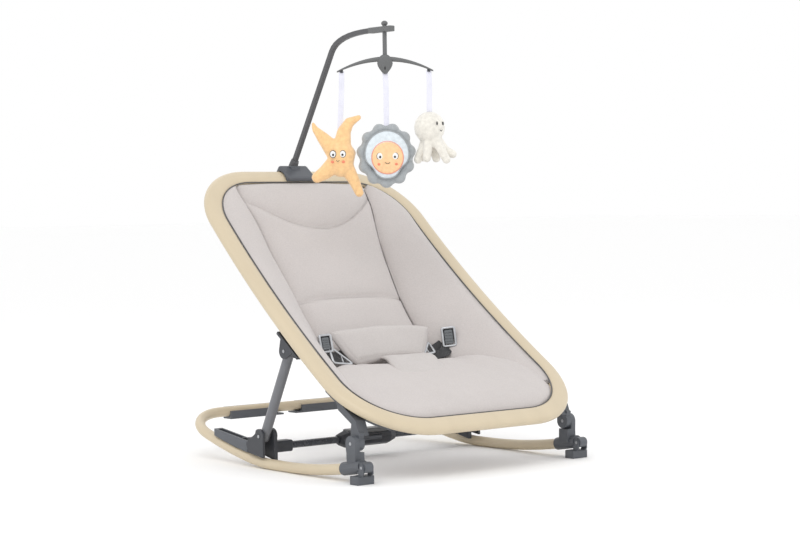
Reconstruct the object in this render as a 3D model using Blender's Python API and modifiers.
"""Baby bouncer seat: a tilted padded bucket in a flat-oval hoop, on a rocking tube base.

Frame: metres, +Z up, floor at z = 0, +X is the sitter's left, the sitter faces -Y.
Seat parts are laid out in the seat plane: x across, v up the seat from the hoop's front limb,
w out of the seat's plane, towards the sitter.
"""
import math

import bmesh
import bpy
from mathutils import Matrix, Vector

GAP = 0.0003
SEGMENTS = 16

# --- seat hoop: a flat-oval tube, a rounded trapezoid that sags below its own plane ---
HOOP_FRONT = Vector((0, -0.2914, 0.0896))
TILT = math.radians(38.3)
HOOP_LENGTH = 0.697
HOOP_HALF_FRONT = 0.2525
HOOP_HALF_HEAD = 0.2375
CORNER_FRONT = 0.137
CORNER_HEAD = 0.118
HOOP_SAG = 0.0233
HOOP_ACROSS = 0.0172
HOOP_THICK = 0.0100

# --- rocker base: one bent round tube, open at the front ---
TUBE_R = 0.0095
RUNNER_FRONT = -0.2540
FRONT_X = 0.2514
REAR_X = 0.2446
CROSSBAR_Y = 0.2968
CORNER_R = 0.0892
CROSSBAR_Z = 0.0756
FLAT_FROM = -0.0374
FLAT_TO = 0.0104
FRONT_CURVE = 0.420
REAR_POWER = 1.5

# --- hinges and the linkage, all axes along X ---
FRONT_PIN = Vector((0, -0.2362, 0.0670))
STRUT_TOP = Vector((0, -0.0524, 0.2148))
STRUT_FOOT = Vector((0, 0.0275, 0.0585))
SLIDE_ANGLE = math.radians(8.0)
STRUT_X = 0.2455
STRUT_R = 0.0090
PIN_R = 0.003
EYE_R = 0.0135
LEG_X = 0.2514
HINGE_X = 0.2480
RAIL_X = 0.2455
RAIL_FROM = 0.0700
RAIL_TO = 0.1745
RAIL_TOP = 0.0468
SADDLE_R = 0.0045
FOOT_PIN = Vector((0, -0.2698, 0.0295))

# --- toy mobile ---
STEM = Vector((0, -0.0258, 0.7310))
MOBILE_TURN = math.radians(-39.5)
CROSSBAR_HALF = 0.0885
HOOK_AT = 0.0800

SMOKE = (0.13, 0.14, 0.155)
SLATE = (0.20, 0.21, 0.225)
BIRCH = (0.80, 0.68, 0.47)
GREIGE = (0.60, 0.56, 0.55)
COLLECTION = {}


def start():
    for item in list(bpy.data.objects):
        bpy.data.objects.remove(item, do_unlink=True)
    for name in ("bouncer_seat", "cutters"):
        COLLECTION[name] = bpy.data.collections.new(name)
        bpy.context.scene.collection.children.link(COLLECTION[name])


def material(name, colour, roughness, metallic=0.0):
    found = bpy.data.materials.get(name)
    if found:
        return found
    made = bpy.data.materials.new(name)
    made.use_nodes = True
    shader = made.node_tree.nodes["Principled BSDF"]
    shader.inputs["Base Color"].default_value = (*colour, 1)
    shader.inputs["Roughness"].default_value = roughness
    shader.inputs["Metallic"].default_value = metallic
    return made


def dark_plastic():
    return material("dark_plastic", SMOKE, 0.45)


def grey_plastic():
    return material("grey_plastic", SLATE, 0.42)


def painted_wood_tone():
    return material("wood_tone_paint", BIRCH, 0.4)


def steel(name="steel"):
    return material(name, (0.45, 0.46, 0.48), 0.3, 0.9)


def fabric(name="seat_fabric", colour=GREIGE):
    return material(name, colour, 0.9)


def seat_point(x, v, w):
    """A place in the seat plane, as a world position."""
    along = Vector((0, math.cos(TILT), math.sin(TILT)))
    out = Vector((0, -math.sin(TILT), math.cos(TILT)))
    return HOOP_FRONT + Vector((x, 0, 0)) + along * v + out * w


def seat_matrix():
    return Matrix.Translation(HOOP_FRONT) @ Matrix.Rotation(TILT, 4, "X")


def hoop_bow(v):
    share = min(max(v / HOOP_LENGTH, 0), 1)
    return -HOOP_SAG * 4 * share * (1 - share)


# --- making objects ---

def add(name, mesh, skin, smooth=True, cutter=False):
    made = bpy.data.objects.new(name, mesh)
    home = COLLECTION["cutters" if cutter else "bouncer_seat"]
    home.objects.link(made)
    if cutter:
        made.hide_render = True
        made.display_type = "WIRE"
        return made
    mesh.materials.append(skin)
    if smooth:
        mesh.shade_smooth()
        mesh.set_sharp_from_angle(angle=math.radians(35))
    return made


def face_outward(shape):
    bmesh.ops.recalc_face_normals(shape, faces=shape.faces)
    if shape.calc_volume(signed=True) < 0:
        bmesh.ops.reverse_faces(shape, faces=shape.faces)


def from_bmesh(name, shape, skin=None, cutter=False):
    face_outward(shape)
    mesh = bpy.data.meshes.new(name)
    shape.to_mesh(mesh)
    shape.free()
    return add(name, mesh, skin, cutter=cutter)


def baked_curve(name, curve, skin, matrix=None, cutter=False):
    """Turn a curve into a welded closed mesh object."""
    guide = bpy.data.objects.new(name + "_guide", curve)
    COLLECTION["cutters"].objects.link(guide)
    bpy.context.view_layer.update()
    graph = bpy.context.evaluated_depsgraph_get()
    mesh = bpy.data.meshes.new_from_object(guide.evaluated_get(graph))
    bpy.data.objects.remove(guide)
    mesh.materials.clear()
    shape = bmesh.new()
    shape.from_mesh(mesh)
    bmesh.ops.remove_doubles(shape, verts=shape.verts, dist=0.00002)
    if matrix:
        shape.transform(matrix)
    face_outward(shape)
    shape.to_mesh(mesh)
    shape.free()
    return add(name, mesh, skin, cutter=cutter)


def tube(name, points, radius, skin, resolution=3, closed=False, matrix=None):
    curve = bpy.data.curves.new(name, "CURVE")
    curve.dimensions = "3D"
    curve.bevel_depth = radius
    curve.bevel_resolution = resolution
    curve.use_fill_caps = not closed
    line = curve.splines.new("POLY")
    line.points.add(len(points) - 1)
    for place, point in zip(line.points, points):
        place.co = (*point, 1)
    line.use_cyclic_u = closed
    return baked_curve(name, curve, skin, matrix)


def plate(name, outline, low, high, skin, edge=0.0, cutter=False, side=1, plane=None):
    """A flat outline of (y, z) pairs, extruded along X from low to high."""
    curve = bpy.data.curves.new(name, "CURVE")
    curve.dimensions = "2D"
    curve.fill_mode = "BOTH"
    curve.extrude = (high - low) / 2
    line = curve.splines.new("POLY")
    line.points.add(len(outline) - 1)
    for place, point in zip(line.points, outline):
        place.co = (point[0], point[1], 0, 1)
    line.use_cyclic_u = True
    stand = Matrix(((0, 0, 1, (low + high) / 2), (1, 0, 0, 0), (0, 1, 0, 0), (0, 0, 0, 1)))
    matrix = (plane or Matrix()) @ Matrix.Scale(side, 4, (1, 0, 0)) @ stand
    made = baked_curve(name, curve, skin, matrix, cutter)
    if edge:
        round_edges(made, edge)
    return made


def cylinder(name, centre, axis, radius, length, skin=None, cutter=False, sides=SEGMENTS,
             top=None):
    shape = bmesh.new()
    turn = Vector(axis).to_track_quat("Z", "Y").to_matrix().to_4x4()
    bmesh.ops.create_cone(shape, cap_ends=True, segments=sides, radius1=radius,
                          radius2=radius if top is None else top, depth=length,
                          matrix=Matrix.Translation(centre) @ turn)
    return from_bmesh(name, shape, skin, cutter)


def box(name, low, high, skin=None, edge=0.0, cutter=False, plane=None):
    low, high = Vector(low), Vector(high)
    shape = bmesh.new()
    place = Matrix.Translation((low + high) / 2) @ Matrix.Diagonal((*(high - low), 1))
    bmesh.ops.create_cube(shape, size=1, matrix=(plane or Matrix()) @ place)
    made = from_bmesh(name, shape, skin, cutter)
    if edge:
        round_edges(made, edge)
    return made


def ball(name, centre, radii, skin, plane=None, rings=8):
    shape = bmesh.new()
    place = (plane or Matrix()) @ Matrix.Translation(centre) @ Matrix.Diagonal((*radii, 1))
    bmesh.ops.create_uvsphere(shape, u_segments=SEGMENTS, v_segments=rings, radius=1,
                              matrix=place)
    return from_bmesh(name, shape, skin)


def round_edges(made, width, segments=2):
    bevel = made.modifiers.new("round", "BEVEL")
    bevel.width = width
    bevel.segments = segments
    bevel.limit_method = "ANGLE"
    bevel.angle_limit = math.radians(40)


def combine(made, other, operation):
    step = made.modifiers.new(operation.lower(), "BOOLEAN")
    step.operation = operation
    step.object = other
    step.solver = "EXACT"
    return made


def cut(made, cutter):
    return combine(made, cutter, "DIFFERENCE")


def join(made, *others):
    """Union other shapes into one; they become guides of it."""
    for other in others:
        combine(made, other, "UNION")
        home = COLLECTION["bouncer_seat"]
        if other.name in home.objects:
            home.objects.unlink(other)
            COLLECTION["cutters"].objects.link(other)
        other.hide_render = True
        other.display_type = "WIRE"
    return made


def sheet(name, surface, across, along, thickness, skin, edge=0.0):
    """A pad or panel: surface(s, t) over -1..1 and 0..1, thickened away from the sitter."""
    shape = bmesh.new()
    bmesh.ops.create_grid(shape, x_segments=across, y_segments=along, size=0.5)
    for vertex in shape.verts:
        vertex.co = surface(vertex.co.x * 2, vertex.co.y + 0.5)
    bmesh.ops.recalc_face_normals(shape, faces=shape.faces)
    if sum((face.normal.z for face in shape.faces)) < 0:
        bmesh.ops.reverse_faces(shape, faces=shape.faces)
    mesh = bpy.data.meshes.new(name)
    shape.to_mesh(mesh)
    shape.free()
    made = add(name, mesh, skin)
    shell = made.modifiers.new("thickness", "SOLIDIFY")
    shell.thickness = thickness
    shell.offset = -1
    if edge:
        round_edges(made, edge)
    return made


def sides():
    """The two mirrored places: left of the viewer is -X."""
    return (("left", -1), ("right", 1))


def arc(centre, radius, start, end, steps):
    """Points on an arc, angles in degrees from the first axis."""
    turn = [math.radians(start + (end - start) * i / steps) for i in range(steps + 1)]
    return [(centre[0] + radius * math.cos(a), centre[1] + radius * math.sin(a)) for a in turn]


# --- rocker base ---

def runner_x(y):
    share = (y + 0.2472) / (CROSSBAR_Y - CORNER_R + 0.2472)
    return FRONT_X + (REAR_X - FRONT_X) * share


def runner_z(y):
    if y < FLAT_FROM:
        return TUBE_R + FRONT_CURVE * (y - FLAT_FROM) ** 2
    if y < FLAT_TO:
        return TUBE_R
    share = (y - FLAT_TO) / (CROSSBAR_Y - FLAT_TO)
    return TUBE_R + (CROSSBAR_Z - TUBE_R) * share ** REAR_POWER


def rocker_path():
    half = []
    for i in range(17):
        y = RUNNER_FRONT + (CROSSBAR_Y - CORNER_R - RUNNER_FRONT) * i / 16
        half.append((runner_x(y), y))
    inner = runner_x(CROSSBAR_Y - CORNER_R) - CORNER_R
    half += arc((inner, CROSSBAR_Y - CORNER_R), CORNER_R, 9, 90, 9)
    both = half + [(-x, y) for x, y in reversed(half)]
    return [(x, y, runner_z(y)) for x, y in both]


def rocker_tube():
    return tube("rocker_tube", rocker_path(), TUBE_R, painted_wood_tone(), resolution=2)


def front_leg(label, side):
    """Clamp sleeve on the runner's front end with a leg up to the recline hinge."""
    nose_y = FOOT_PIN.y
    centre_z = FOOT_PIN.z
    half_nose = 0.0085
    body = plate("front_leg_" + label,
                 [(-0.2500, 0.0290), (-0.2490, 0.0500)]
                 + arc((FRONT_PIN.y, FRONT_PIN.z), EYE_R, 180, 0, 8)
                 + [(-0.2250, 0.0500), (-0.2260, 0.0290)],
                 HINGE_X + GAP, HINGE_X + 0.0105, grey_plastic(), side=side)
    stub = plate("leg_stub_" + label,
                 [(-0.2500, 0.0290), (-0.2490, 0.0525), (-0.2265, 0.0525), (-0.2260, 0.0290)],
                 HINGE_X - 0.0095, HINGE_X + 0.0105, grey_plastic(), side=side)
    sleeve = cylinder("leg_sleeve_" + label, (side * LEG_X, -0.2358, runner_z(-0.2358)),
                      (0, -1, 0.159), 0.0116, 0.0525, grey_plastic())
    nose = plate("leg_nose_" + label,
                 arc((nose_y, centre_z), 0.0092, 90, 270, 8)
                 + [(-0.2550, 0.0180), (-0.2550, 0.0375)],
                 LEG_X - half_nose, LEG_X + half_nose, grey_plastic(), side=side)
    join(body, stub, sleeve, nose)
    bore = tube_cutter("runner_bore_" + label, side)
    cut(body, bore)
    cut(body, cylinder("hinge_bore_" + label, (side * LEG_X, FRONT_PIN.y, FRONT_PIN.z),
                       (1, 0, 0), PIN_R + GAP, 0.04, cutter=True))
    cut(body, cylinder("foot_bore_" + label, (side * LEG_X, nose_y, centre_z),
                       (1, 0, 0), 0.0025 + GAP, 0.04, cutter=True, sides=12))
    return body


def tube_cutter(name, side):
    """The runner's front end, a little larger, to hollow the leg's sleeve."""
    ends = [(side * runner_x(y), y, runner_z(y)) for y in (RUNNER_FRONT - 0.001, -0.215, -0.180)]
    made = tube(name, ends, TUBE_R + GAP, grey_plastic(), resolution=2)
    COLLECTION["bouncer_seat"].objects.unlink(made)
    COLLECTION["cutters"].objects.link(made)
    made.hide_render = True
    made.display_type = "WIRE"
    return made


def foot_block(label, side):
    """Stationary stand: a block on two lugs that turns forward about the leg's nose."""
    half = 0.0180
    block = box("foot_block_" + label, (side * LEG_X - half, -0.2690, 0.0),
                (side * LEG_X + half, -0.2470, 0.0148), grey_plastic(), edge=0.0012)
    for number, offset in enumerate((-0.0101, 0.0101)):
        lug = plate("foot_lug_%s_%d" % (label, number),
                    arc((FOOT_PIN.y, FOOT_PIN.z), 0.0055, 0, 180, 6)
                    + [(FOOT_PIN.y - 0.0055, 0.0180), (-0.2660, 0.0100),
                       (FOOT_PIN.y + 0.0100, 0.0100)],
                    offset - 0.0011, offset + 0.0011, grey_plastic(),
                    plane=Matrix.Translation((side * LEG_X, 0, 0)))
        join(block, lug)
    cut(block, cylinder("lug_bore_" + label, (side * LEG_X, FOOT_PIN.y, FOOT_PIN.z), (1, 0, 0),
                        0.0025 + GAP, 0.04, cutter=True, sides=12))
    return block


def foot_pin(label, side):
    return cylinder("foot_pin_" + label, (side * LEG_X, FOOT_PIN.y, FOOT_PIN.z), (1, 0, 0),
                    0.0025, 0.0228, steel(), sides=12)


def rail_top(y):
    return RAIL_TOP + math.tan(SLIDE_ANGLE) * (y - RAIL_FROM)


def slide_rail(label, side):
    """Channel on the runner that guides the carriage; its floor follows the tube."""
    stations = [RAIL_FROM + (RAIL_TO - RAIL_FROM) * i / 6 for i in range(7)]
    floor = [(y, runner_z(y) + TUBE_R + 0.0009) for y in stations]
    rail = plate("slide_rail_" + label,
                 floor + [(RAIL_TO, rail_top(RAIL_TO)), (RAIL_FROM, rail_top(RAIL_FROM))],
                 RAIL_X - 0.0089, RAIL_X + 0.0089, grey_plastic(), side=side)
    slot = [(y, runner_z(y) + TUBE_R + 0.0035) for y in stations]
    lift = 0.010
    slot[0] = (RAIL_FROM + 0.006, slot[0][1] + 0.001)
    slot[-1] = (RAIL_TO - 0.005, slot[-1][1])
    groove = plate("rail_slot_" + label,
                   slot + [(RAIL_TO - 0.005, rail_top(RAIL_TO) + lift),
                           (RAIL_FROM + 0.006, rail_top(RAIL_FROM) + lift)],
                   RAIL_X - 0.0056, RAIL_X + 0.0056, None, cutter=True, side=side)
    return cut(rail, groove)


def rail_stop(label, side):
    """Small peg in the rail's slot that marks the middle recline step."""
    y = 0.0920
    low = runner_z(y) + TUBE_R + 0.0035 + GAP + 0.0015
    high = rail_top(y) + 0.0006
    return cylinder("rail_stop_" + label, (side * RAIL_X, y, (low + high) / 2), (0, 0, 1),
                    0.0040, high - low, dark_plastic(), sides=12)


def rear_channel(label, side):
    """Rest pad hugging the rear crossbar from below, open on top, with a longer floor."""
    centre_z = runner_z(CROSSBAR_Y)
    inner, outer = TUBE_R + GAP, TUBE_R + 0.0035
    floor = centre_z - 0.0140
    front = centre_z + 0.0015
    back = centre_z + 0.0085
    outline = [(CROSSBAR_Y - outer, front), (CROSSBAR_Y - outer, floor),
               (CROSSBAR_Y + outer, floor), (CROSSBAR_Y + outer, back),
               (CROSSBAR_Y + inner, back)]
    outline += arc((CROSSBAR_Y, centre_z), inner, 0, -180, 10)
    outline += [(CROSSBAR_Y - inner, front)]
    made = plate("rear_channel_" + label, outline, 0.0300, 0.1400, grey_plastic(), side=side)
    tongue = plate("channel_tongue_" + label,
                   [(CROSSBAR_Y - outer, floor), (CROSSBAR_Y + outer, floor),
                    (CROSSBAR_Y + outer, floor + 0.0032), (CROSSBAR_Y - outer, floor + 0.0032)],
                   0.0150, 0.0320, grey_plastic(), side=side)
    return join(made, tongue)


# --- carriages and cross tube ---

def sloped(y, z):
    """A (y, z) place measured from the strut's foot pin along the slide."""
    c, s = math.cos(SLIDE_ANGLE), math.sin(SLIDE_ANGLE)
    return (STRUT_FOOT.y + y * c - z * s, STRUT_FOOT.z + y * s + z * c)


def carriage(label, side):
    """Clevis that carries the strut's foot and slides along the rail."""
    eye = arc((STRUT_FOOT.y, STRUT_FOOT.z), EYE_R, 200, 50, 8)
    outer = plate("carriage_" + label,
                  [(0.0150, 0.0210)] + eye + [(0.0384, 0.0625), (0.0664, 0.0445),
                                              (0.0660, 0.0395), (0.0581, 0.0268)],
                  0.2549, 0.2595, dark_plastic(), side=side)
    inner = plate("carriage_inner_" + label,
                  [(0.0137, 0.0150), (0.0140, 0.0420)] + eye
                  + [(0.0600, 0.0480), (0.0600, 0.0290), (0.0400, 0.0205)],
                  0.2276, 0.2355, dark_plastic(), side=side)
    web = plate("carriage_web_" + label,
                [(0.0340, 0.0240), (0.0340, 0.0470), (0.0600, 0.0480), (0.0600, 0.0290)],
                0.2145, 0.2300, dark_plastic(), side=side)
    bridge = plate("carriage_bridge_" + label,
                   [sloped(0.0150, -0.0085), sloped(0.0150, -0.0150), sloped(0.0330, -0.0150),
                    sloped(0.0330, -0.0085)], 0.2285, 0.2590, dark_plastic(), side=side)
    join(outer, inner, web, bridge)
    return cut(outer, cylinder("carriage_bore_" + label,
                               (side * STRUT_X, STRUT_FOOT.y, STRUT_FOOT.z), (1, 0, 0),
                               PIN_R + GAP, 0.06, cutter=True, sides=12))


def strut_foot_pin(label, side):
    return cylinder("strut_foot_pin_" + label, (side * 0.24355, STRUT_FOOT.y, STRUT_FOOT.z),
                    (1, 0, 0), PIN_R, 0.0335, steel(), sides=12)


BAR = Vector((0, 0.0478, 0.0350))


def cross_tube():
    return cylinder("cross_tube", BAR, (1, 0, 0), 0.0066, 2 * 0.2140, steel("dark_steel"))


def tube_sleeve(label, side):
    """Moulded socket that joins the cross tube to its carriage."""
    made = box("tube_sleeve_" + label, (side * 0.1945 - 0.0195, BAR.y - 0.0105, BAR.z - 0.0105),
               (side * 0.1945 + 0.0195, BAR.y + 0.0105, BAR.z + 0.0105), dark_plastic(),
               edge=0.003)
    return cut(made, cylinder("sleeve_bore_" + label, (side * 0.1945, BAR.y, BAR.z), (1, 0, 0),
                              0.0066 + GAP, 0.05, cutter=True))


def grip_lower():
    """Housing around the cross tube, with tapered ends."""
    made = cylinder("grip_lower", BAR + Vector((0.001, 0, 0)), (1, 0, 0), 0.0165, 0.100,
                    dark_plastic(), sides=8)
    for number, (x, tip) in enumerate(((-0.0565, -1), (0.0585, 1))):
        cone = cylinder("grip_taper_%d" % number, BAR + Vector((x, 0, 0)), (tip, 0, 0), 0.0165,
                        0.0152, dark_plastic(), sides=8, top=0.0105)
        join(made, cone)
    cut(made, cylinder("grip_bore", BAR, (1, 0, 0), 0.0066 + GAP, 0.2, cutter=True))
    cut(made, box("grip_top_cut", (-0.044, BAR.y - 0.03, BAR.z + 0.0080),
                  (0.046, BAR.y + 0.03, BAR.z + 0.03), cutter=True))
    return cut(made, box("trigger_slot", (-0.0250, BAR.y - 0.03, BAR.z - 0.0055),
                         (0.0270, BAR.y - 0.0074, BAR.z + 0.0045), cutter=True))


def grip_upper():
    """Lighter cover on top of the housing."""
    low = BAR.z + 0.0080 + GAP
    return box("grip_upper", (-0.0435, BAR.y - 0.0135, low),
               (0.0455, BAR.y + 0.0135, low + 0.0090), grey_plastic(), edge=0.0025)


def release_trigger():
    """Squeeze bar in the housing's front that lets the carriages slide."""
    return box("release_trigger", (-0.0240, BAR.y - 0.0190, BAR.z - 0.0045),
               (0.0260, BAR.y - 0.0120, BAR.z + 0.0035), grey_plastic(), edge=0.0015)


# --- struts ---

def strut(label, side):
    top, foot = STRUT_TOP.copy(), STRUT_FOOT.copy()
    reach = (top - foot).normalized() * 0.0088
    place = (side * STRUT_X, 0, 0)
    length = (top - foot).length + 2 * 0.0088
    made = cylinder("strut_" + label, (top + foot) / 2 + Vector(place), reach, STRUT_R, length,
                    steel("grey_tube"), sides=20)
    round_edges(made, 0.003)
    foot_eye = cylinder("strut_foot_bore_" + label, foot + Vector(place), (1, 0, 0), 0.0058,
                        0.04, cutter=True)
    top_eye = cylinder("strut_top_bore_" + label, top + Vector(place), (1, 0, 0),
                       PIN_R + GAP, 0.04, cutter=True, sides=12)
    cut(made, foot_eye)
    return cut(made, top_eye)


# --- hoop and its fittings ---

def hoop_path():
    """Centre line in the seat plane, anticlockwise from the front limb's middle."""
    lean = math.degrees(math.atan2(HOOP_HALF_FRONT - HOOP_HALF_HEAD, HOOP_LENGTH))
    right = [(0, 0)]
    front_x = HOOP_HALF_FRONT - CORNER_FRONT * math.tan(math.radians(lean)) - CORNER_FRONT
    right += arc((front_x, CORNER_FRONT), CORNER_FRONT, -90, lean, 8)
    head_x = HOOP_HALF_HEAD - CORNER_HEAD
    top = arc((head_x, HOOP_LENGTH - CORNER_HEAD), CORNER_HEAD, lean, 90, 8)
    first, last = right[-1], top[0]
    for i in range(1, 12):
        right.append((first[0] + (last[0] - first[0]) * i / 12,
                      first[1] + (last[1] - first[1]) * i / 12))
    right += top + [(0, HOOP_LENGTH)]
    return right + [(-x, v) for x, v in reversed(right[1:-1])]


def hoop():
    """Flat-oval tube: a round sweep, flattened across its plane and then bowed."""
    points = [(x, v, 0) for x, v in hoop_path()]
    made = tube("hoop", points, HOOP_ACROSS, painted_wood_tone(), resolution=2, closed=True)
    mesh = made.data
    for vertex in mesh.vertices:
        flat = vertex.co.z * HOOP_THICK / HOOP_ACROSS
        vertex.co.z = flat + hoop_bow(vertex.co.y)
    mesh.transform(seat_matrix())
    return made


def hoop_inner_half(v):
    """Half-width inside the hoop at a distance up the seat."""
    side_half = HOOP_HALF_FRONT + (HOOP_HALF_HEAD - HOOP_HALF_FRONT) * v / HOOP_LENGTH
    side_half -= HOOP_ACROSS
    near = v - HOOP_ACROSS
    radius = CORNER_FRONT - HOOP_ACROSS
    far = HOOP_LENGTH - HOOP_ACROSS - v
    if far < near:
        near, radius = far, CORNER_HEAD - HOOP_ACROSS
    if near >= radius:
        return side_half
    drop = radius - math.sqrt(max(radius ** 2 - (radius - near) ** 2, 0))
    return side_half - drop


def under_hoop(v, drop=0.0):
    """(v, w) just below the hoop's underside."""
    return (v, hoop_bow(v) - HOOP_THICK - GAP * 4 - drop)


def in_plane(point):
    """(v, w) of a world place."""
    offset = point - HOOP_FRONT
    c, s = math.cos(TILT), math.sin(TILT)
    return (offset.y * c + offset.z * s, -offset.y * s + offset.z * c)


def saddle_path():
    """Centre line just under the hoop, from its side round into the front corner."""
    near = [point for point in hoop_path()[1:] if point[0] > 0.175 and point[1] < 0.170]
    drop = HOOP_THICK + SADDLE_R + 0.0008
    return [(x, v, hoop_bow(v) - drop) for x, v in near]


def hinge_saddle(label, side):
    """Long rib under the hoop with a neck down to the front hinge."""
    pin = in_plane(FRONT_PIN)
    plane = seat_matrix()
    mirror = Matrix.Scale(side, 4, (1, 0, 0))
    made = tube("hinge_saddle_" + label, saddle_path(), SADDLE_R, grey_plastic(),
                resolution=1, matrix=plane @ mirror)
    neck = plate("saddle_neck_" + label,
                 [under_hoop(0.052, 0.0030), (pin[0] - 0.0015, pin[1] + 0.0170),
                  (pin[0] + 0.0285, pin[1] + 0.0190), under_hoop(0.098, 0.0160),
                  under_hoop(0.112, 0.0080), under_hoop(0.130, 0.0030)],
                 HINGE_X - 0.0210, HINGE_X, grey_plastic(), side=side, plane=plane)
    join(made, neck)
    eye = plate("saddle_eye_" + label,
                arc(pin, EYE_R, 100, 330, 10)
                + [(pin[0] + 0.0285, pin[1] + 0.0200), (pin[0] + 0.0010, pin[1] + 0.0220)],
                HINGE_X - 0.0105, HINGE_X, grey_plastic(), side=side, plane=plane)
    join(made, eye)
    cut(made, plate("stub_room_" + label,
                    arc((FRONT_PIN.y, FRONT_PIN.z), EYE_R + 0.0012, 0, 360, 20)[:-1],
                    HINGE_X - 0.0250, HINGE_X - 0.0105, None, cutter=True, side=side))
    return cut(made, cylinder("saddle_bore_" + label, (side * LEG_X, FRONT_PIN.y, FRONT_PIN.z),
                              (1, 0, 0), PIN_R + GAP, 0.05, cutter=True))


def front_hinge_pin(label, side):
    return cylinder("front_hinge_pin_" + label,
                    (side * (HINGE_X + 0.0002), FRONT_PIN.y, FRONT_PIN.z), (1, 0, 0), PIN_R,
                    0.0215, steel(), sides=12)


def strut_bracket(label, side):
    """Plate under the hoop with two ears around the strut's head."""
    pin = in_plane(STRUT_TOP)
    top = [under_hoop(0.228 + 0.072 * i / 3) for i in range(4)]
    foot = [under_hoop(0.300, 0.0050), under_hoop(0.228, 0.0050)]
    plane = seat_matrix()
    made = plate("strut_bracket_" + label, top + foot, 0.2300, 0.2602, dark_plastic(),
                 side=side, plane=plane)
    ear = arc(pin, EYE_R, 200, 340, 8)
    ear += [under_hoop(pin[0] + 0.021, 0.0030), under_hoop(pin[0] - 0.020, 0.0030)]
    for number, (low, high) in enumerate(((0.2300, 0.2357), (0.2556, 0.2602))):
        join(made, plate("bracket_ear_%s_%d" % (label, number), ear, low, high,
                         dark_plastic(), side=side, plane=plane))
    return cut(made, cylinder("bracket_bore_" + label,
                              (side * STRUT_X, STRUT_TOP.y, STRUT_TOP.z), (1, 0, 0),
                              PIN_R + GAP, 0.06, cutter=True, sides=12))


def strut_top_pin(label, side):
    return cylinder("strut_top_pin_" + label,
                    (side * 0.2451, STRUT_TOP.y, STRUT_TOP.z), (1, 0, 0), PIN_R, 0.0312,
                    steel(), sides=12)


# --- soft seat ---

BACK_LOW = 0.276
BACK_HIGH = 0.655
WING_LOW = 0.205
CUSHION_LOW = 0.030
CUSHION_HIGH = 0.245


def between(value, table):
    """Straight-line reading from a short table of (key, value) pairs."""
    for (a, low), (b, high) in zip(table, table[1:]):
        if value <= b:
            return low + (high - low) * (value - a) / (b - a)
    return table[-1][1]


def panel_half(v):
    """Half-width of the back panel."""
    return between(v / HOOP_LENGTH, ((0.25, 0.121), (0.55, 0.1235), (0.65, 0.127),
                                     (0.75, 0.133), (0.85, 0.142), (0.96, 0.162)))


def panel_depth(v):
    """How far the back panel's edges lie below the hoop's plane."""
    return between(v / HOOP_LENGTH, ((0.25, 0.112), (0.45, 0.104), (0.55, 0.086),
                                     (0.65, 0.067), (0.75, 0.046), (0.85, 0.018),
                                     (0.95, 0.0)))


def back_pad():
    def surface(s, t):
        v = BACK_LOW + (BACK_HIGH - BACK_LOW) * t
        crown = 0.006 * (1 - s * s)
        return seat_point(s * (panel_half(v) - 0.001), v, -panel_depth(v) + crown)
    return sheet("back_pad", surface, 4, 10, 0.020, fabric())


def wing(label, side):
    """Side panel from the hoop's inner edge down to the back panel's edge."""
    def surface(s, t):
        v = WING_LOW + (BACK_HIGH - WING_LOW) * t
        share = (s + 1) / 2
        low_x, low_w = panel_half(v) + 0.002, -panel_depth(v)
        high_x = hoop_inner_half(v) - 0.0115
        high_w = max(hoop_bow(v) - 0.003, low_w + 0.004)
        x = low_x + (max(high_x, low_x + 0.006) - low_x) * share
        return seat_point(side * x, v, low_w + (high_w - low_w) * share)
    return sheet("side_wing_" + label, surface, 3, 10, 0.006, fabric())


def cushion_half(v):
    if v < 0.14:
        return hoop_inner_half(v) - 0.0100
    return between(v, ((0.14, 0.222), (0.19, 0.142), (0.26, 0.128)))


def cushion_top(v):
    return between(v, ((0.0, -0.002), (0.08, -0.0130), (0.16, -0.0330), (0.21, -0.050),
                       (0.26, -0.068)))


def thigh_cushion():
    def surface(s, t):
        v = CUSHION_LOW + (CUSHION_HIGH - CUSHION_LOW) * t
        crown = 0.010 * (1 - s * s)
        return seat_point(s * cushion_half(v), v, cushion_top(v) - 0.006 + crown)
    return sheet("thigh_cushion", surface, 6, 8, 0.026, fabric())


def edge_piping():
    """Corded welt just inside the hoop."""
    points = []
    for x, v in hoop_path():
        shrink = HOOP_ACROSS + 0.0032
        centre_v = min(max(v, CORNER_FRONT), HOOP_LENGTH - CORNER_HEAD)
        span = HOOP_HALF_HEAD - CORNER_HEAD
        centre_x = min(max(x, -span), span)
        inward = Vector((x - centre_x, v - centre_v))
        if inward.length < 1e-6:
            inward = Vector((0, v - HOOP_LENGTH / 2))
        inward.normalize()
        x, v = x - inward.x * shrink, v - inward.y * shrink
        points.append(seat_point(x, v, hoop_bow(v) + 0.0082))
    return tube("edge_piping", points, 0.0018, material("welt", (0.11, 0.11, 0.12), 0.8),
                resolution=1, closed=True)


# --- harness ---

def waist_pad():
    def surface(s, t):
        half = 0.086 + 0.030 * t
        v = 0.262 + 0.046 * t
        return seat_point(s * half, v, -0.0780 + 0.0120 * t + 0.004 * (1 - s * s))
    return sheet("waist_pad", surface, 6, 3, 0.008, fabric("harness_fabric"))


def crotch_strap():
    def surface(s, t):
        return seat_point(s * (0.034 - 0.008 * t), 0.2490 + 0.0095 * t, -0.0560 - 0.012 * t)
    return sheet("crotch_strap", surface, 2, 2, 0.004, fabric("harness_fabric"))


def harness_strap(label, side):
    """Webbing from the seat's side to the buckle."""
    def surface(s, t):
        return seat_point(side * (0.1605 + 0.0095 * t), 0.291 + 0.0120 * s, -0.0680 + 0.008 * t)
    return sheet("harness_strap_" + label, surface, 2, 2, 0.0016,
                 material("webbing", (0.03, 0.03, 0.035), 0.85))


def buckle_plane(side):
    turn = Matrix.Rotation(math.radians(-side * 35), 4, "Y")
    return seat_matrix() @ Matrix.Translation((side * 0.1465, 0.289, -0.0665)) @ turn


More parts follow.
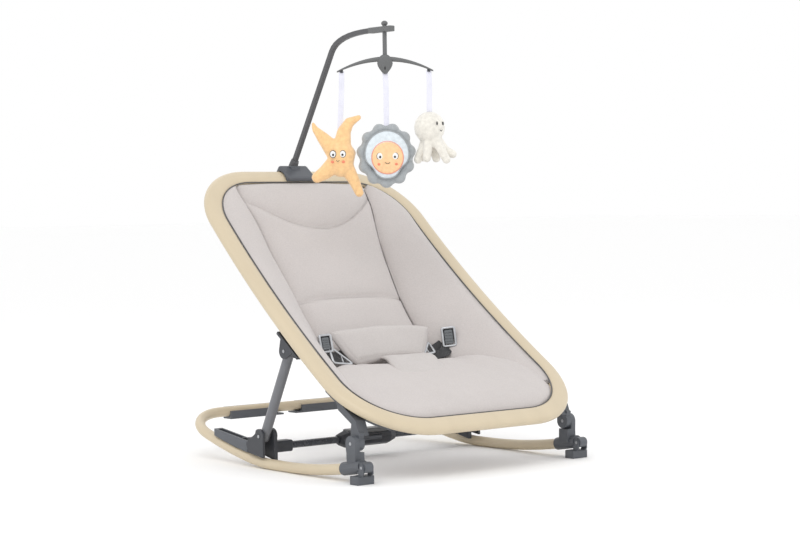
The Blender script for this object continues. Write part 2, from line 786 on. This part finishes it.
def buckle(label, side):
    """Rimmed buckle body with a window for its push panel."""
    plane = buckle_plane(side)
    made = box("buckle_" + label, (-0.0125, -0.0200, -0.0050), (0.0125, 0.0200, 0.0050),
               material("buckle_rim", (0.45, 0.46, 0.48), 0.35), edge=0.002, plane=plane)
    return cut(made, box("buckle_window_" + label, (-0.0085, -0.0150, -0.0015),
                         (0.0085, 0.0150, 0.0100), cutter=True, plane=plane))


def buckle_button(label, side):
    plane = buckle_plane(side)
    return box("buckle_button_" + label, (-0.0080, -0.0145, 0.0010), (0.0080, 0.0145, 0.0055),
               dark_plastic(), edge=0.0012, plane=plane)


def strap_adjuster(label, side):
    """Slotted slider where the webbing turns back into the waist pad."""
    turn = Matrix.Rotation(math.radians(-side * 30), 4, "Y")
    plane = seat_matrix() @ Matrix.Translation((side * 0.1200, 0.270, -0.0780)) @ turn
    made = box("strap_adjuster_" + label, (-0.0085, -0.0105, -0.0022), (0.0085, 0.0105, 0.0022),
               material("buckle_rim", (0.45, 0.46, 0.48), 0.35), edge=0.001, plane=plane)
    for number, v in enumerate((-0.0045, 0.0045)):
        cut(made, box("adjuster_slot_%s_%d" % (label, number), (-0.0062, v - 0.0022, -0.01),
                      (0.0062, v + 0.0022, 0.01), cutter=True, plane=plane))
    return made


# --- toy mobile ---

def clamp_plane():
    return Matrix.Translation(seat_point(0, HOOP_LENGTH, 0)) @ Matrix.Rotation(TILT, 4, "X")


def mobile_clamp():
    """Saddle over the hoop's head limb, with a raised socket for the arm."""
    plane = clamp_plane()
    made = box("mobile_clamp", (-0.034, -0.0180, -0.0150), (0.034, 0.0225, 0.0165),
               grey_plastic(), edge=0.004, plane=plane)
    room = cylinder("clamp_room", (0, 0, 0), (1, 0, 0), 1, 0.1, cutter=True, sides=24)
    oval = Matrix.Diagonal((1, HOOP_ACROSS + 0.0014, HOOP_THICK + 0.0032, 1))
    room.data.transform(plane @ oval)
    base = seat_point(0, HOOP_LENGTH, 0)
    socket = box("clamp_socket", (-0.0115, ARM_FOOT[0] - 0.0075, base.z + 0.006),
                 (0.0115, ARM_FOOT[0] + 0.0075, ARM_FOOT[1] - 0.0032), grey_plastic(),
                 edge=0.002)
    join(made, socket)
    cut(made, room)
    return cut(made, box("clamp_mouth", (-0.05, -0.05, -0.0080), (0.05, -0.0120, 0.0080),
                  cutter=True, plane=plane))


ARM_FOOT = (0.2589, 0.5500)
ARM_BEND = (0.1330, 0.7600)
ARM_END = (0.0160, 0.7915)


def arm_line():
    """(y, z) centre line: straight up from the clamp, then over in an arc to level."""
    start = Vector(ARM_FOOT)
    bend = Vector(ARM_BEND)
    end = Vector(ARM_END)
    lead = (bend - start).normalized()
    line = [start + (bend - start) * i / 4 for i in range(4)]
    knee = bend + lead * 0.036
    for i in range(9):
        t = i / 8
        line.append(bend * (1 - t) ** 2 + knee * 2 * t * (1 - t) + end * t ** 2)
    return line


def mobile_arm():
    """Flat strip bar, broad side facing sideways."""
    line = arm_line()
    half = 0.0046
    left, right = [], []
    for i, point in enumerate(line):
        ahead = line[min(i + 1, len(line) - 1)] - line[max(i - 1, 0)]
        normal = Vector((-ahead.y, ahead.x)).normalized() * half
        left.append(tuple(point + normal))
        right.append(tuple(point - normal))
    return plate("mobile_arm", left + right[::-1], -0.0042, 0.0042,
                 material("arm_grey", (0.10, 0.10, 0.11), 0.4), edge=0.001)


def arm_socket():
    """Collar at the arm's end, with the bore that the stem turns in."""
    level = ARM_END[1]
    made = box("arm_socket", (-0.0065, STEM.y - 0.0220, level - 0.0055),
               (0.0065, ARM_END[0] - GAP, level + 0.0050), grey_plastic(), edge=0.0015)
    return cut(made, cylinder("stem_bore", (0, STEM.y, level), (0, 0, 1), 0.0040 + GAP, 0.04,
                              cutter=True))


def mobile_stem():
    """Stem that hangs in the collar, with a ball cap above it."""
    top = ARM_END[1] + 0.0080
    low = STEM.z + 0.0121
    made = cylinder("mobile_stem", (0, STEM.y, (top + low) / 2), (0, 0, 1), 0.0040, top - low,
                    grey_plastic())
    cap = ball("stem_cap", (0, STEM.y, ARM_END[1] + 0.0104), (0.0062, 0.0062, 0.0050),
               grey_plastic())
    return join(made, cap)


def mobile_plane():
    return Matrix.Translation(STEM) @ Matrix.Rotation(MOBILE_TURN, 4, "Z")


def crossbar_drop(x):
    return -0.0225 * (x / CROSSBAR_HALF) ** 2 + 0.0065


def mobile_crossbar():
    """Curved bar that tapers to thin tips, moulded in one with a shield-shaped hub."""
    plane = mobile_plane() @ Matrix.Rotation(math.radians(-90), 4, "Z")
    top, low = [], []
    for i in range(17):
        x = CROSSBAR_HALF * (i / 8 - 1)
        half = 0.0034 - 0.0022 * abs(x) / CROSSBAR_HALF
        top.append((x, crossbar_drop(x) + half))
        low.append((x, crossbar_drop(x) - half))
    bar = plate("mobile_crossbar", top + low[::-1], -0.0045, 0.0045, grey_plastic(),
                plane=plane)
    outline = [(-0.0105, 0.0070), (-0.0060, 0.0118), (0.0060, 0.0118), (0.0105, 0.0070),
               (0.0095, -0.0060), (0.0040, -0.0180), (0.0, -0.0205), (-0.0040, -0.0180),
               (-0.0095, -0.0060)]
    shield = plate("hub_shield", outline, -0.0070, 0.0070, grey_plastic(), edge=0.0015,
                   plane=plane)
    pegs = [box("hook_peg_%d" % (x > 0), (x - 0.0024, -0.0030, crossbar_drop(x) - 0.0065),
                (x + 0.0024, 0.0030, crossbar_drop(x)), grey_plastic(), plane=mobile_plane())
            for x in (-HOOK_AT, HOOK_AT)]
    return join(bar, shield, *pegs)


def ribbon(name, x, top, low):
    plane = mobile_plane()
    return box(name, (x - 0.0045, -0.0006, low), (x + 0.0045, 0.0006, top),
               fabric("ribbon_white", (0.9, 0.9, 0.92)), plane=plane)


HANGERS = (("star", -HOOK_AT, -0.1150), ("flower", 0.0, -0.1130), ("octopus", HOOK_AT, -0.0920))
STAR_ARMS = ((139, 0.066), (66, 0.070), (5, 0.030), (295, 0.084), (227, 0.060))


def toy_plane(x, z, turn=0.0):
    return mobile_plane() @ Matrix.Translation((x, 0, z)) @ Matrix.Rotation(turn, 4, "Z")


def star():
    """Plush star with limp arms of unequal length; one is short and tucked in."""
    points = []
    for (angle, reach), (following, _) in zip(STAR_ARMS, STAR_ARMS[1:] + STAR_ARMS[:1]):
        sweep = (following - angle) % 360 - 360
        for turn, length in ((7, reach * 0.96), (-7, reach * 0.96), (sweep / 2, 0.028)):
            a = math.radians(angle + turn)
            points.append((length * math.cos(a), length * math.sin(a)))
    upright = toy_plane(-HOOK_AT - 0.005, -0.1660) @ Matrix.Rotation(math.radians(-90), 4, "Z")
    return plate("toy_star", points, -0.011, 0.011, fabric("toy_yellow", (0.95, 0.62, 0.28)),
                 edge=0.004, plane=upright)


def flower():
    """Plush flower: a scalloped ring around a round face."""
    petals = 10
    points = []
    for i in range(petals * 4):
        angle = 2 * math.pi * i / (petals * 4)
        reach = 0.0485 + 0.0035 * math.cos(petals * angle)
        points.append((reach * math.cos(angle), reach * math.sin(angle) * 1.13))
    upright = toy_plane(0, -0.1730) @ Matrix.Rotation(math.radians(-90), 4, "Z")
    return plate("toy_flower", points, -0.011, 0.011, fabric("toy_grey", (0.4, 0.42, 0.44)),
                 edge=0.003, plane=upright)


def octopus():
    """Plush octopus: a round head on short legs."""
    plane = toy_plane(HOOK_AT, -0.1220)
    made = ball("toy_octopus", (0, 0, 0), (0.0290, 0.0290, 0.0295),
                fabric("toy_cream", (0.85, 0.84, 0.78)), plane=plane)
    for i in range(5):
        angle = 2 * math.pi * (i + 0.5) / 5
        out = Vector((math.cos(angle) * 0.016, math.sin(angle) * 0.016, -0.0310))
        leg = ball("octopus_leg_%d" % i, out, (0.0105, 0.0105, 0.0200),
                   fabric("toy_cream"), plane=plane, rings=6)
        join(made, leg)
    return made


def toy_ribbon(label, x, low):
    """Satin loop from the bar's peg, or from the hub's tip, down to a toy."""
    top = -0.0205 if label == "flower" else crossbar_drop(x) - 0.0065
    return ribbon("ribbon_" + label, x, top - GAP, low)


def empty(name, place):
    made = bpy.data.objects.new(name, None)
    COLLECTION["bouncer_seat"].objects.link(made)
    made.matrix_world = Matrix.Translation(place)
    return made


def hang(parent, *children):
    bpy.context.view_layer.update()
    for child in children:
        matrix = child.matrix_world.copy()
        child.parent = parent
        child.matrix_parent_inverse = parent.matrix_world.inverted()
        child.matrix_world = matrix


def build_base():
    base = empty("base", (0, 0, 0))
    hang(base, rocker_tube())
    for label, side in sides():
        hang(base, front_leg(label, side), foot_pin(label, side), slide_rail(label, side),
             rail_stop(label, side), rear_channel(label, side))
        axis = empty("foot_axis_" + label, (side * LEG_X, FOOT_PIN.y, FOOT_PIN.z))
        hang(axis, foot_block(label, side))
        hang(base, axis)
    return base


def build_slider(base):
    slider = empty("slider", STRUT_FOOT)
    hang(slider, cross_tube(), grip_lower(), grip_upper())
    for label, side in sides():
        hang(slider, carriage(label, side), strut_foot_pin(label, side),
             tube_sleeve(label, side))
    trigger = empty("trigger_axis", BAR)
    hang(trigger, release_trigger())
    hang(slider, trigger)
    hang(base, slider)


def build_seat(base):
    seat = empty("seat_axis", FRONT_PIN)
    hang(seat, hoop(), back_pad(), thigh_cushion(), edge_piping(), waist_pad(),
         crotch_strap(), mobile_clamp(), mobile_arm(), arm_socket())
    for label, side in sides():
        hang(seat, hinge_saddle(label, side), front_hinge_pin(label, side),
             strut_bracket(label, side), strut_top_pin(label, side), wing(label, side),
             harness_strap(label, side), buckle(label, side), strap_adjuster(label, side),
             buckle_button(label, side))
        axis = empty("strut_axis_" + label, (side * STRUT_X, STRUT_TOP.y, STRUT_TOP.z))
        hang(axis, strut(label, side))
        hang(seat, axis)
    hang(base, seat)
    return seat


def build_mobile(seat):
    spin = empty("mobile_axis", STEM)
    hang(spin, mobile_stem(), mobile_crossbar())
    for hanger, toy in zip(HANGERS, (star(), flower(), octopus())):
        strap = toy_ribbon(*hanger)
        swing = empty(toy.name + "_axis", STEM)
        hang(swing, strap, toy)
        hang(spin, swing)
    hang(seat, spin)


def main():
    start()
    base = build_base()
    build_slider(base)
    seat = build_seat(base)
    build_mobile(seat)


main()
